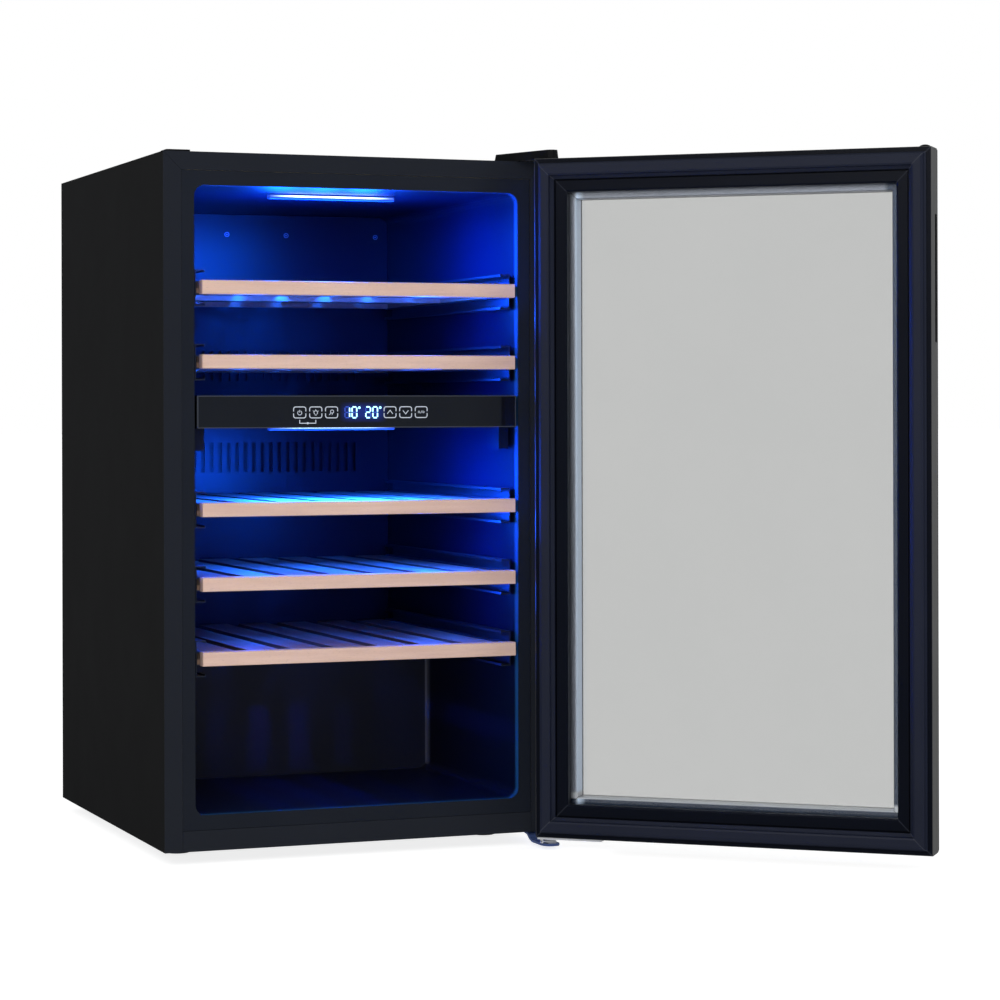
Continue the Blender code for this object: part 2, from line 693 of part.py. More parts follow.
def build_shelf(number, top):
    """A beech front strip, a slatted rack, and the two fixed channels between whose ledges its side bars run."""
    left = OPEN_LEFT + STRIP_LEFT_GAP
    right = OPEN_RIGHT - STRIP_RIGHT_GAP
    outline = rounded(0.0, STRIP_DEPTH, top - STRIP_HEIGHT, top, 0.0015, 3)
    strip = prism(outline, "x", left, right)
    named(strip, f"shelf_{number}_front", (0.60, 0.40, 0.27), 0.5)

    front = STRIP_DEPTH + CLEARANCE
    middle = top + CHANNEL_RISE - CHANNEL_HEIGHT / 2
    bar_inner = OPEN_LEFT + CHANNEL_SIDE_GAP + CHANNEL_WIDTH + 0.0012
    bar_outer = OPEN_LEFT + CHANNEL_SIDE_GAP + CHANNEL_SHEET + 0.0008
    pieces = []
    for sign in (1, -1):
        x = (OPEN_LEFT if sign > 0 else OPEN_RIGHT)
        inner = x + sign * (bar_inner - OPEN_LEFT)
        outer = x + sign * (bar_outer - OPEN_LEFT)
        sides = sorted((inner, outer))
        low = (sides[0], front, middle - SLIDE_HEIGHT / 2)
        pieces.append(box(low, (sides[1], RACK_BACK, middle + SLIDE_HEIGHT / 2)))
    slat_top = top - SLAT_DROP
    slat_low = slat_top - SLAT_THICKNESS
    span_left = bar_inner - 0.001
    span_right = WIDTH - span_left
    for y in (front, (front + RACK_BACK - CROSSBAR_DEPTH) / 2, RACK_BACK - CROSSBAR_DEPTH):
        low = (span_left, y, slat_low - CROSSBAR_HEIGHT)
        pieces.append(box(low, (span_right, y + CROSSBAR_DEPTH, slat_low + 0.001)))
    room = WIDTH - 2 * (bar_inner + 0.001)
    slat_width = (room - (SLAT_COUNT - 1) * SLAT_GAP) / SLAT_COUNT
    for i in range(SLAT_COUNT):
        x = bar_inner + 0.001 + i * (slat_width + SLAT_GAP)
        pieces.append(box((x, front, slat_low), (x + slat_width, RACK_BACK, slat_top)))
    rack = joined(pieces[2], *pieces[:2], *pieces[3:])
    named(rack, f"shelf_{number}_rack", (0.50, 0.33, 0.22), 0.6)

    low_z = middle - CHANNEL_HEIGHT / 2
    high_z = middle + CHANNEL_HEIGHT / 2
    under = middle - SLIDE_HEIGHT / 2 - CLEARANCE
    over = middle + SLIDE_HEIGHT / 2 + CLEARANCE
    for side, x, sign in (
        ("left", OPEN_LEFT + CHANNEL_SIDE_GAP, 1),
        ("right", OPEN_RIGHT - CHANNEL_SIDE_GAP, -1),
    ):
        web = x + sign * CHANNEL_SHEET
        lip = x + sign * (CHANNEL_WIDTH - CHANNEL_SHEET)
        end = x + sign * CHANNEL_WIDTH
        outline = [
            (x, low_z),
            (end, low_z),
            (end, low_z + CHANNEL_LIP),
            (lip, low_z + CHANNEL_LIP),
            (lip, low_z + CHANNEL_SHEET),
            (web, low_z + CHANNEL_SHEET),
            (web, under - CHANNEL_SHEET),
            (end, under - CHANNEL_SHEET),
            (end, under),
            (web, under),
            (web, over),
            (end, over),
            (end, over + CHANNEL_SHEET),
            (web, over + CHANNEL_SHEET),
            (web, high_z - CHANNEL_SHEET),
            (lip, high_z - CHANNEL_SHEET),
            (lip, high_z - CHANNEL_LIP),
            (end, high_z - CHANNEL_LIP),
            (end, high_z),
            (x, high_z),
        ]
        channel = prism(outline, "y", front, RACK_BACK - 0.005)
        wall = x - sign * (CHANNEL_SIDE_GAP - CLEARANCE)
        bosses = []
        for y in (0.060, RACK_BACK - 0.080):
            sides = sorted((wall, x + sign * CHANNEL_SHEET / 2))
            low = (sides[0], y, middle - 0.008)
            bosses.append(box(low, (sides[1], y + 0.020, middle + 0.008)))
        channel = joined(channel, *bosses)
        named(channel, f"shelf_{number}_rail_{side}", (0.30, 0.31, 0.33), 0.35, 0.9)


def depth_y(t):
    """The y of a place t in from the closed door's inner face."""
    return DOOR_INNER_Y - t


def build_door():
    """The door, built closed. Returns its objects."""
    sides = (0.0, WIDTH, DOOR_LOW, DOOR_HIGH)
    pane_outer = DOOR_THICKNESS - GLASS
    pane_back = depth_y(pane_outer)
    parts = []

    outline = rounded(0.0, WIDTH, DOOR_LOW, DOOR_HIGH, 0.002, 2)
    pane = prism(outline, "y", DOOR_OUTER_Y, pane_back)
    parts.append(named(pane, "door_outer_glass", (0.012, 0.012, 0.014), 0.05))

    t_low = INNER_TRIM + CLEARANCE
    t_high = pane_outer - CLEARANCE
    inner_edge = SPACER_OUTER - CLEARANCE
    profile = [(0.0, depth_y(t_low)), (inner_edge, depth_y(t_low)), (inner_edge, depth_y(t_high)), (0.0, depth_y(t_high))]
    frame = framed(profile, *sides)
    grip_high = FLOOR + GRIP_SHARE * CABINET_HEIGHT + GRIP_LENGTH / 2
    grip_low = grip_high - GRIP_LENGTH
    slot_near = depth_y(t_low + 0.0008)
    slot_far = depth_y(t_high - 0.0006)
    recess = box((-0.01, slot_far, grip_low), (GRIP_DEPTH, slot_near, grip_high))
    pivot = (PIVOT_X, PIVOT_Y)
    top_hole = rod("z", pivot, PIN_HOLE, DOOR_HIGH - PIN_LENGTH - 0.004, DOOR_HIGH + 0.01)
    low_hole = rod("z", pivot, PIN_HOLE, DOOR_LOW - 0.01, DOOR_LOW + PIN_LENGTH + 0.004)
    frame = cut(frame, recess, top_hole, low_hole)
    parts.append(named(frame, "door_outer_frame", (0.012, 0.012, 0.013), 0.35))

    low = (0.0004, slot_far + CLEARANCE, grip_low + CLEARANCE)
    high = (GRIP_DEPTH - CLEARANCE, slot_near - CLEARANCE, grip_high - CLEARANCE)
    grip = box(low, high)
    finger_low = (-0.01, low[1] + GRIP_WALL, low[2] + GRIP_WALL)
    finger = box(finger_low, tuple(v - GRIP_WALL for v in high))
    parts.append(named(cut(grip, finger), "door_grip", (0.008, 0.008, 0.008), 0.5))

    lip_back = 0.0130
    profile = [
        (0.0, 0.0012),
        (0.0012, 0.0),
        (0.0135, 0.0),
        (0.0135, 0.0060),
        (0.0185, 0.0060),
        (0.0185, 0.0),
        (0.0268, 0.0),
        (0.0268, 0.0030),
        (0.0283, 0.0030),
        (0.0283, 0.0),
        (0.0400, 0.0),
        (0.0420, 0.0020),
        (0.0420, lip_back),
        (0.0285, lip_back),
        (0.0285, INNER_TRIM),
        (0.0, INNER_TRIM),
    ]
    trim = framed([(d, depth_y(t)) for d, t in profile], *sides)
    parts.append(named(trim, "door_inner_frame", (0.035, 0.038, 0.045), 0.4))

    pane_edge = 0.0288
    near = lip_back + CLEARANCE
    low = (pane_edge, depth_y(near + GLASS), DOOR_LOW + pane_edge)
    high = (WIDTH - pane_edge, depth_y(near), DOOR_HIGH - pane_edge)
    parts.append(named(box(low, high), "door_inner_glass", (0.5, 0.52, 0.52), 0.03))

    t_near = near + GLASS + CLEARANCE
    profile = [
        (SPACER_OUTER, t_near + 0.001),
        (SPACER_OUTER + 0.001, t_near),
        (SPACER_INNER - 0.001, t_near),
        (SPACER_INNER, t_near + 0.001),
        (SPACER_INNER, t_high),
        (SPACER_OUTER, t_high),
    ]
    spacer = framed([(d, depth_y(t)) for d, t in profile], *sides)
    parts.append(named(spacer, "glass_spacer", (0.45, 0.46, 0.48), 0.35, 1.0))

    profile = [
        (0.0060, -0.0003),
        (0.0145, -0.0003),
        (0.0145, 0.0050),
        (0.0175, 0.0050),
        (0.0175, -0.0003),
        (0.0260, -0.0003),
        (0.0262, -0.0020),
        (0.0225, -0.0050),
        (0.0215, -0.0092),
        (0.0195, -0.0100),
        (0.0115, -0.0100),
        (0.0085, -0.0088),
        (0.0075, -0.0040),
        (0.0060, -0.0015),
    ]
    gasket = framed([(d, depth_y(t)) for d, t in profile], *sides)
    parts.append(named(gasket, "door_gasket", (0.025, 0.027, 0.03), 0.55))

    low = (WIDTH - BOTTOM_PLATE_LENGTH, depth_y(pane_outer), DOOR_LOW - CLEARANCE - 0.0025)
    high = (WIDTH - 0.001, depth_y(0.004), DOOR_LOW - CLEARANCE)
    plate = cut(box(low, high), rod("z", pivot, PIN_HOLE, DOOR_LOW - 0.01, DOOR_LOW + 0.01))
    parts.append(named(plate, "door_bottom_plate", (0.6, 0.61, 0.63), 0.25, 1.0))
    return parts


def hang_door(parts):
    """Turns the finished door about its pin line to where it stands open."""
    pivot = Vector((PIVOT_X, PIVOT_Y, 0.0))
    axis = bpy.data.objects.new("door_hinge_axis", None)
    bpy.context.scene.collection.objects.link(axis)
    axis.location = pivot
    axis.rotation_euler = (0.0, 0.0, math.radians(DOOR_OPEN_DEG))
    for part in parts:
        part.parent = axis
        part.matrix_parent_inverse = Matrix.Translation(-pivot)


def centre_on_origin():
    """Moves everything so that the bounding box's middle is over the origin."""
    bpy.context.view_layer.update()
    low = [math.inf, math.inf]
    high = [-math.inf, -math.inf]
    for obj in bpy.data.objects:
        if obj.type != "MESH":
            continue
        for vertex in obj.data.vertices:
            point = obj.matrix_world @ vertex.co
            for k in (0, 1):
                low[k] = min(low[k], point[k])
                high[k] = max(high[k], point[k])
    shift = Vector((-(low[0] + high[0]) / 2, -(low[1] + high[1]) / 2, 0.0))
    for obj in bpy.data.objects:
        if obj.parent is None:
            obj.location += shift


def main():
    clear_scene()
    build_shell()
    build_liner()
    build_grille()
    build_divider()
    build_ducts()
    build_machinery()
    build_feet()
    build_hinges()
    for i in range(LOWER_SHELVES):
        build_shelf(i + 1, STEP_Z + FIRST_LOWER_SHELF + i * LOWER_PITCH)
    for i in range(UPPER_SHELVES):
        build_shelf(LOWER_SHELVES + i + 1, DIVIDER_HIGH + FIRST_UPPER_SHELF + i * UPPER_PITCH)
    hang_door(build_door())
    centre_on_origin()


main()
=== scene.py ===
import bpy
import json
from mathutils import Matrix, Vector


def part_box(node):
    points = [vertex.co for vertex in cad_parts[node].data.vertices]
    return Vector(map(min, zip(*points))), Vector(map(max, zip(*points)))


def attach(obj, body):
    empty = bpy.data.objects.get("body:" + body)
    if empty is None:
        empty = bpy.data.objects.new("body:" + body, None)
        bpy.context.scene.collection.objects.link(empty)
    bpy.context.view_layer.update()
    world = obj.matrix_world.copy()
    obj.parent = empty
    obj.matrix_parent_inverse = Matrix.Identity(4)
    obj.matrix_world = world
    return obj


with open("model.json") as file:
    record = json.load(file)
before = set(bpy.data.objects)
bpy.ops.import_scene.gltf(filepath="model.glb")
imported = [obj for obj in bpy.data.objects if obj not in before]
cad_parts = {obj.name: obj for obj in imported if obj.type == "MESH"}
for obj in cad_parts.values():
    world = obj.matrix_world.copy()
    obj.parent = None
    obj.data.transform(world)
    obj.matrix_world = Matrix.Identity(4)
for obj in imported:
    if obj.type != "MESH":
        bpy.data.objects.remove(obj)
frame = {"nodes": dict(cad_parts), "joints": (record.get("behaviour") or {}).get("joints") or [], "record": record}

"""The looks of a two-zone wine cooler: finishes for every CAD node, the printed keys and lit digits of the
control panel, screws, plugs and trims, the blue lamps of both zones, and a plain white studio."""

import json
import math

import bmesh
import bpy
from mathutils import Matrix, Vector

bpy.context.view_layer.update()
NODES = frame["nodes"]
RECORD = frame["record"]
SLOT_OF = {part["node"]: part["material_slot"] for part in RECORD["subparts"]}


def joint(name):
    return next(j for j in frame["joints"] if j["name"] == name)


# ---- places, most taken from the imported model, the rest given
CABINET_LOW, CABINET_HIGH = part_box("side_panel_left")
CABINET_LOW = CABINET_LOW.copy()
CABINET_HIGH = Vector((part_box("side_panel_right")[1].x, CABINET_HIGH.y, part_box("top_panel")[1].z))
LEFT = CABINET_LOW.x
FRONT = CABINET_LOW.y
FLOOR_GAP = CABINET_LOW.z
HINGE = joint("door_hinge")
PIVOT = Vector(HINGE["pos_m"])
OPEN_ANGLE = -math.radians(HINGE["range_deg"][0])
DOOR_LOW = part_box("door_outer_frame")[0].z
DOOR_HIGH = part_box("door_outer_frame")[1].z
DOOR_GAP = 0.011
PANEL_LOW, PANEL_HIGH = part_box("control_glass")
KEY_ROW_DROP = 0.0008
KEY_ROW_Z = (PANEL_LOW.z + PANEL_HIGH.z) / 2 - KEY_ROW_DROP
DISPLAY_X = LEFT + 0.2520
PRINT_WIDTH = 0.0500
SLAT_THICKNESS = 0.008
SHELF_COUNT = 5


# ---- node helpers
class Surface:
    """A node material being put together."""

    def __init__(self, name):
        self.material = bpy.data.materials.new(name)
        self.material.use_nodes = True
        self.tree = self.material.node_tree
        self.shader = self.tree.nodes["Principled BSDF"]
        self.output = self.tree.nodes["Material Output"]
        self.coordinates = self.node("ShaderNodeTexCoord").outputs["Object"]

    def node(self, kind, **settings):
        made = self.tree.nodes.new(kind)
        for key, value in settings.items():
            setattr(made, key, value)
        return made

    def link(self, source, target):
        self.tree.links.new(source, target)

    def set(self, **values):
        """Constants on the shader's own sockets, by name with _ for a space."""
        for key, value in values.items():
            self.shader.inputs[key.replace("_", " ")].default_value = value
        return self

    def placed(self, scale=(1, 1, 1), turn=0.0, shift=(0, 0, 0), source=None):
        mapping = self.node("ShaderNodeMapping")
        mapping.inputs["Scale"].default_value = scale
        mapping.inputs["Rotation"].default_value = (0, 0, turn)
        mapping.inputs["Location"].default_value = shift
        self.link(source or self.coordinates, mapping.inputs["Vector"])
        return mapping.outputs["Vector"]

    def noise(self, size, scale=(1, 1, 1), detail=3.0, rough=0.55, turn=0.0, distortion=0.0, source=None):
        """Noise whose features are about size metres across."""
        made = self.node("ShaderNodeTexNoise")
        made.inputs["Scale"].default_value = 1.0 / size
        made.inputs["Detail"].default_value = detail
        made.inputs["Roughness"].default_value = rough
        made.inputs["Distortion"].default_value = distortion
        self.link(self.placed(scale, turn, source=source), made.inputs["Vector"])
        return made.outputs["Fac"]

    def cells(self, size, scale=(1, 1, 1), feature="F1"):
        made = self.node("ShaderNodeTexVoronoi", feature=feature)
        made.inputs["Scale"].default_value = 1.0 / size
        self.link(self.placed(scale), made.inputs["Vector"])
        return made

    def ramp(self, source, stops):
        made = self.node("ShaderNodeValToRGB")
        elements = made.color_ramp.elements
        while len(elements) < len(stops):
            elements.new(0.5)
        for element, (place, colour) in zip(elements, stops):
            element.position = place
            element.color = (*colour, 1.0)
        self.link(source, made.inputs["Fac"])
        return made.outputs["Color"]

    def range(self, source, low, high, to_low, to_high):
        made = self.node("ShaderNodeMapRange")
        for key, value in (("From Min", low), ("From Max", high), ("To Min", to_low), ("To Max", to_high)):
            made.inputs[key].default_value = value
        self.link(source, made.inputs["Value"])
        return made.outputs["Result"]

    def math(self, operation, a, b=0.0):
        made = self.node("ShaderNodeMath", operation=operation)
        for socket, value in zip(made.inputs, (a, b)):
            if isinstance(value, (int, float)):
                socket.default_value = value
            else:
                self.link(value, socket)
        return made.outputs["Value"]

    def blend(self, factor, a, b, mode="MIX"):
        made = self.node("ShaderNodeMix", data_type="RGBA", blend_type=mode)
        for socket, value in ((made.inputs["Factor"], factor), (made.inputs[6], a), (made.inputs[7], b)):
            if isinstance(value, (int, float)):
                socket.default_value = value
            elif isinstance(value, tuple):
                socket.default_value = (*value, 1.0)
            else:
                self.link(value, socket)
        return made.outputs[2]

    def bump(self, height, depth, strength=1.0, before=None):
        made = self.node("ShaderNodeBump")
        made.inputs["Distance"].default_value = depth
        made.inputs["Strength"].default_value = strength
        self.link(height, made.inputs["Height"])
        if before is not None:
            self.link(before, made.inputs["Normal"])
        return made.outputs["Normal"]

    def finish(self, colour=None, roughness=None, normal=None):
        for value, key in ((colour, "Base Color"), (roughness, "Roughness"), (normal, "Normal")):
            if value is not None:
                self.link(value, self.shader.inputs[key])
        return self.material


def tinted(colour, share):
    return tuple(min(1.0, c * share) for c in colour)


def grained(
    name, colour, rough, size=0.0009, depth=0.00006, patch=0.12, spread=0.08, level=0.25, zones=(),
    **constants,
):
    """A moulded or coated surface: fine grain in the bump, broad drift in the colour and the gloss.

    Each zone is a mask and the colour that takes over where it is 1."""
    s = Surface(name).set(Specular_IOR_Level=level, **constants)
    broad = s.noise(patch, detail=4.0)
    fine = s.noise(size, detail=2.0)
    base = s.ramp(broad, [(0.25, tinted(colour, 1 - spread)), (0.75, tinted(colour, 1 + spread))])
    for mask, other in zones:
        shade = s.ramp(broad, [(0.25, tinted(other, 1 - spread)), (0.75, tinted(other, 1 + spread))])
        base = s.blend(mask(s), base, shade)
    base = s.blend(s.range(fine, 0.3, 0.7, 0.0, 0.10), base, s.blend(1.0, base, (1.8, 1.8, 1.8), "MULTIPLY"))
    gloss = s.range(s.math("ADD", broad, s.math("MULTIPLY", fine, 0.5)), 0.4, 1.1, rough * 0.92, rough * 1.08)
    return s.finish(base, gloss, s.bump(fine, depth))


def axis_of(s, axis):
    parts = s.node("ShaderNodeSeparateXYZ")
    s.link(s.coordinates, parts.inputs["Vector"])
    return parts.outputs[axis]


def front_face(s):
    """1 on what lies within 2 mm of the cabinet's front plane."""
    return s.range(axis_of(s, "Y"), FRONT + 0.0020, FRONT + 0.0026, 1.0, 0.0)


def behind_front(s):
    return s.range(axis_of(s, "Y"), FRONT + 0.0026, FRONT + 0.0040, 0.0, 1.0)


def brushed(name, colour, rough, along=(1, 40, 40), size=0.03, depth=0.00003, **constants):
    """Rolled or brushed metal: streaks along one axis."""
    s = Surface(name).set(**{"Metallic": 1.0, **constants})
    streak = s.noise(size, scale=along, detail=6.0, rough=0.7)
    stain = s.noise(0.05, detail=3.0)
    base = s.ramp(streak, [(0.2, tinted(colour, 0.80)), (0.8, tinted(colour, 1.12))])
    base = s.blend(s.range(stain, 0.45, 0.8, 0.0, 0.35), base, tinted(colour, 0.66))
    gloss = s.range(streak, 0.2, 0.8, rough * 0.8, rough * 1.3)
    return s.finish(base, gloss, s.bump(streak, depth))


def galvanised(name, colour, rough):
    s = Surface(name).set(Metallic=1.0)
    flake = s.cells(0.011)
    patch = s.node("ShaderNodeSeparateColor")
    s.link(flake.outputs["Color"], patch.inputs["Color"])
    base = s.ramp(patch.outputs["Red"], [(0.0, tinted(colour, 0.78)), (1.0, tinted(colour, 1.15))])
    base = s.blend(s.range(s.noise(0.002), 0.4, 0.7, 0.0, 0.25), base, tinted(colour, 0.7))
    gloss = s.range(patch.outputs["Green"], 0.0, 1.0, rough * 0.8, rough * 1.25)
    return s.finish(base, gloss, s.bump(s.noise(0.0015), 0.00003))


def painted_slat_side_shade(s):
    """1 between the upper and the lower face of any rack's slats, where painted shade darkens their sides."""
    z, found = axis_of(s, "Z"), None
    for i in range(1, SHELF_COUNT + 1):
        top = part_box(f"shelf_{i}_front")[1].z - 0.002
        off = s.math("ABSOLUTE", s.math("SUBTRACT", z, top - SLAT_THICKNESS / 2))
        here = s.range(off, 0.0034, 0.0038, 1.0, 0.0)
        found = here if found is None else s.math("MAXIMUM", found, here)
    return found


def beech(name, light, dark, rough, along, shade=None):
    """Steamed beech: long faint figure, fine pores and the short darker flecks of its rays.

    The grain runs on the axis numbered along. Where shade gives 1, the wood is coloured dark as painted shade."""
    stretch = tuple(1.0 if k == along else 14.0 for k in range(3))
    s = Surface(name)
    figure = s.noise(0.16, scale=stretch, detail=5.0, rough=0.6, distortion=0.4)
    fibre = s.noise(0.022, scale=tuple(1.0 if k == along else 26.0 for k in range(3)), detail=4.0, rough=0.7)
    fleck = s.noise(0.0045, scale=tuple(1.0 if k == along else 7.0 for k in range(3)), detail=1.0)
    medium = tuple((a + b) / 2 for a, b in zip(light, dark))
    base = s.ramp(figure, [(0.28, dark), (0.5, medium), (0.72, light)])
    base = s.blend(s.range(fibre, 0.35, 0.75, 0.0, 0.30), base, tinted(dark, 0.86))
    base = s.blend(s.range(fleck, 0.62, 0.72, 0.0, 0.42), base, tinted(dark, 0.62))
    # painted shade: the wood coloured dark where the shade mask is 1
    if shade:
        base = s.blend(shade(s), base, tinted(dark, 0.22))
    gloss = s.range(fibre, 0.3, 0.7, rough * 0.88, rough * 1.12)
    height = s.math("SUBTRACT", fibre, s.math("MULTIPLY", s.range(fleck, 0.62, 0.72, 0.0, 1.0), 0.4))
    return s.finish(base, gloss, s.bump(height, 0.00008))


def door_places(s):
    """Places on the door as if it were closed: distance in from its nearest edge, Y, distance from the mitre
    line, X and Z."""
    back = Matrix.Rotation(-OPEN_ANGLE, 3, "Z")
    flat = Vector((PIVOT.x, PIVOT.y, 0.0))
    closed = s.placed(turn=-OPEN_ANGLE, shift=tuple(flat - back @ flat))
    parts = s.node("ShaderNodeSeparateXYZ")
    s.link(closed, parts.inputs["Vector"])
    x, z = parts.outputs["X"], parts.outputs["Z"]
    width = CABINET_HIGH.x
    sides = s.math("MINIMUM", s.math("SUBTRACT", x, LEFT), s.math("SUBTRACT", width, x))
    ends = s.math("MINIMUM", s.math("SUBTRACT", z, DOOR_LOW), s.math("SUBTRACT", DOOR_HIGH, z))
    mitre = s.math("ABSOLUTE", s.math("SUBTRACT", sides, ends))
    return s.math("MINIMUM", sides, ends), parts.outputs["Y"], mitre, x, z


def mitre_line(s):
    """1 on the thin seam where two sides of a door frame meet."""
    return s.range(door_places(s)[2], 0.0003, 0.0006, 1.0, 0.0)


def flank(s):
    """1 on the outer sides of the door, where painted light greys the frames."""
    return s.range(door_places(s)[0], 0.0002, 0.0006, 1.0, 0.0)


def lets_lamps_through(s, colour):
    """Shadow rays pass the glass, so that it doesn't darken what stands behind it."""
    path = s.node("ShaderNodeLightPath")
    clear = s.node("ShaderNodeBsdfTransparent")
    clear.inputs["Color"].default_value = (*colour, 1.0)
    mix = s.node("ShaderNodeMixShader")
    s.link(path.outputs["Is Shadow Ray"], mix.inputs["Fac"])
    s.link(s.shader.outputs["BSDF"], mix.inputs[1])
    s.link(clear.outputs["BSDF"], mix.inputs[2])
    return mix


def outer_pane():
    """Grey glass with a black ceramic print round it, which hides the frame that it is bonded to."""
    s = Surface("outer_pane").set(IOR=1.5)
    edge = door_places(s)[0]
    window = s.range(edge, PRINT_WIDTH, PRINT_WIDTH + 0.0006, 0.0, 1.0)
    haze = s.noise(0.2, detail=2.0)
    grey = s.ramp(haze, [(0.3, (0.535, 0.533, 0.530)), (0.7, (0.541, 0.539, 0.536))])
    black = s.ramp(s.noise(0.0006), [(0.3, (0.004, 0.004, 0.005)), (0.7, (0.007, 0.007, 0.008))])
    s.link(window, s.shader.inputs["Transmission Weight"])
    s.finish(s.blend(window, black, grey), s.range(haze, 0.3, 0.7, 0.0, 0.004))
    s.set(Specular_IOR_Level=0.3)
    mix = lets_lamps_through(s, (0.6, 0.6, 0.6))
    s.link(mix.outputs["Shader"], s.output.inputs["Surface"])
    return s.material


def inner_pane():
    s = Surface("inner_pane").set(IOR=1.5, Transmission_Weight=1.0)
    haze = s.noise(0.15, detail=3.0)
    clear = s.ramp(haze, [(0.3, (0.955, 0.968, 0.962)), (0.7, (0.968, 0.978, 0.972))])
    s.finish(clear, s.range(haze, 0.35, 0.7, 0.0, 0.004))
    s.set(Specular_IOR_Level=0.3)
    mix = lets_lamps_through(s, (0.9, 0.9, 0.9))
    s.link(mix.outputs["Shader"], s.output.inputs["Surface"])
    return s.material


def panel_glass():
    """Dark glass over the display, with the blue haze of the lit digits behind it, a painted highlight round its
    rim and a painted reflection of the dark door at its right end.
    """
    s = Surface("panel_glass").set(IOR=1.5, Coat_Weight=0.3, Coat_Roughness=0.04)
    parts = s.node("ShaderNodeSeparateXYZ")
    s.link(s.coordinates, parts.inputs["Vector"])
    across = s.math("ABSOLUTE", s.math("SUBTRACT", parts.outputs["X"], DISPLAY_X))
    up = s.math("ABSOLUTE", s.math("SUBTRACT", parts.outputs["Z"], KEY_ROW_Z))
    glow = s.math("MULTIPLY", s.range(across, 0.018, 0.031, 1.0, 0.0), s.range(up, 0.004, 0.013, 1.0, 0.0))
    broad = s.noise(0.08, detail=3.0)
    base = s.ramp(broad, [(0.3, (0.0070, 0.0085, 0.0120)), (0.7, (0.0082, 0.0100, 0.0140))])
    middle = (PANEL_LOW + PANEL_HIGH) / 2
    half = (PANEL_HIGH - PANEL_LOW) / 2
    height = s.math("ABSOLUTE", s.math("SUBTRACT", parts.outputs["Z"], middle.z))
    width = s.math("ABSOLUTE", s.math("SUBTRACT", parts.outputs["X"], middle.x))
    # painted highlight: a light line round the glass's rim
    rim = s.math(
        "MAXIMUM",
        s.range(height, half.z - 0.0014, half.z - 0.0008, 0.0, 1.0),
        s.range(width, half.x - 0.0014, half.x - 0.0008, 0.0, 1.0),
    )
    # painted reflection of the dark door, darkening the glass's right end
    painted_door_reflection = s.range(parts.outputs["X"], LEFT + 0.4338, LEFT + 0.4348, 0.0, 0.75)
    base = s.blend(painted_door_reflection, base, (0.002, 0.002, 0.004))
    base = s.blend(rim, base, (0.045, 0.050, 0.062))
    s.link(s.blend(glow, (0.0, 0.0, 0.0), (0.010, 0.055, 0.62)), s.shader.inputs["Emission Color"])
    s.set(Emission_Strength=0.30, Specular_IOR_Level=0.3)
    return s.finish(base, s.range(broad, 0.3, 0.7, 0.10, 0.16), s.bump(s.noise(0.004), 0.000004))


def lamp_lens():
    """A frosted lens: a thin white line of light along its middle, fading at both ends into deep blue."""
    s = Surface("lamp_lens").set(IOR=1.45, Specular_IOR_Level=0.2)
    low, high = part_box("upper_lamp")
    low_z = [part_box(zone)[0].z for zone in ("upper_lamp", "lower_lamp")]
    high_z = [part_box(zone)[1].z for zone in ("upper_lamp", "lower_lamp")]
    z, x = axis_of(s, "Z"), axis_of(s, "X")
    rows = [s.math("ABSOLUTE", s.math("SUBTRACT", z, (a + b) / 2 + 0.0004)) for a, b in zip(low_z, high_z)]
    line = s.range(s.math("MINIMUM", *rows), 0.0005, 0.0014, 1.0, 0.0)
    reach = s.math("ABSOLUTE", s.math("SUBTRACT", x, (low.x + high.x) / 2))
    ends = s.range(reach, 0.050, (high.x - low.x) / 2, 1.0, 0.05)
    frost = s.noise(0.004, detail=2.0)
    core = s.math("MULTIPLY", s.math("MULTIPLY", line, ends), s.range(frost, 0.3, 0.7, 0.85, 1.15))
    s.link(s.blend(core, (0.0, 0.045, 0.62), (0.66, 0.96, 1.0)), s.shader.inputs["Emission Color"])
    s.link(s.range(core, 0.0, 1.0, 0.8, 5.0), s.shader.inputs["Emission Strength"])
    fine = s.noise(0.001)
    tone = s.ramp(fine, [(0.3, (0.05, 0.10, 0.22)), (0.7, (0.07, 0.13, 0.27))])
    return s.finish(tone, s.range(fine, 0.3, 0.7, 0.35, 0.5), s.bump(fine, 0.00005))


def spacer_metal():
    """The aluminium bar between the panes, with its two rows of breathing holes. Painted shade darkens its free
    side and foot; painted highlights put a light blue line on its hinge side and a light band on its foot.
    """
    s = Surface("spacer_aluminium").set(Metallic=1.0)
    streak = s.noise(0.02, scale=(30, 30, 1), detail=4.0)
    base = s.ramp(streak, [(0.2, (0.20, 0.215, 0.26)), (0.8, (0.25, 0.268, 0.32))])
    x, z = door_places(s)[3:]
    # painted shade: the free side and the foot coloured darker
    free_side = s.range(x, LEFT + 0.055, LEFT + 0.060, 1.0, 0.0)
    foot = s.range(z, DOOR_LOW + 0.054, DOOR_LOW + 0.058, 1.0, 0.0)
    base = s.blend(s.math("MAXIMUM", free_side, foot), base, (0.035, 0.050, 0.085))
    right = CABINET_HIGH.x
    # painted highlight: a light blue line near the hinge side
    painted_hinge_side_highlight = s.range(x, right - 0.0505, right - 0.0465, 1.0, 0.0)
    hinge_side = s.range(x, right - 0.06, right - 0.0506, 0.0, 1.0)
    base = s.blend(s.math("MULTIPLY", painted_hinge_side_highlight, hinge_side), base, (0.62, 0.74, 0.92))
    # painted highlight: a light band along the foot
    painted_foot_highlight = s.range(z, DOOR_LOW + 0.0475, DOOR_LOW + 0.0485, 0.0, 1.0)
    base = s.blend(s.math("MULTIPLY", painted_foot_highlight, foot), base, (0.50, 0.52, 0.56))
    hole = s.range(s.cells(0.004).outputs["Distance"], 0.0, 0.22, 1.0, 0.0)
    base = s.blend(s.math("MULTIPLY", hole, 0.35), base, (0.03, 0.03, 0.035))
    base = s.blend(mitre_line(s), base, (0.05, 0.05, 0.06))
    return s.finish(base, s.range(streak, 0.2, 0.8, 0.34, 0.48), s.bump(streak, 0.00002))


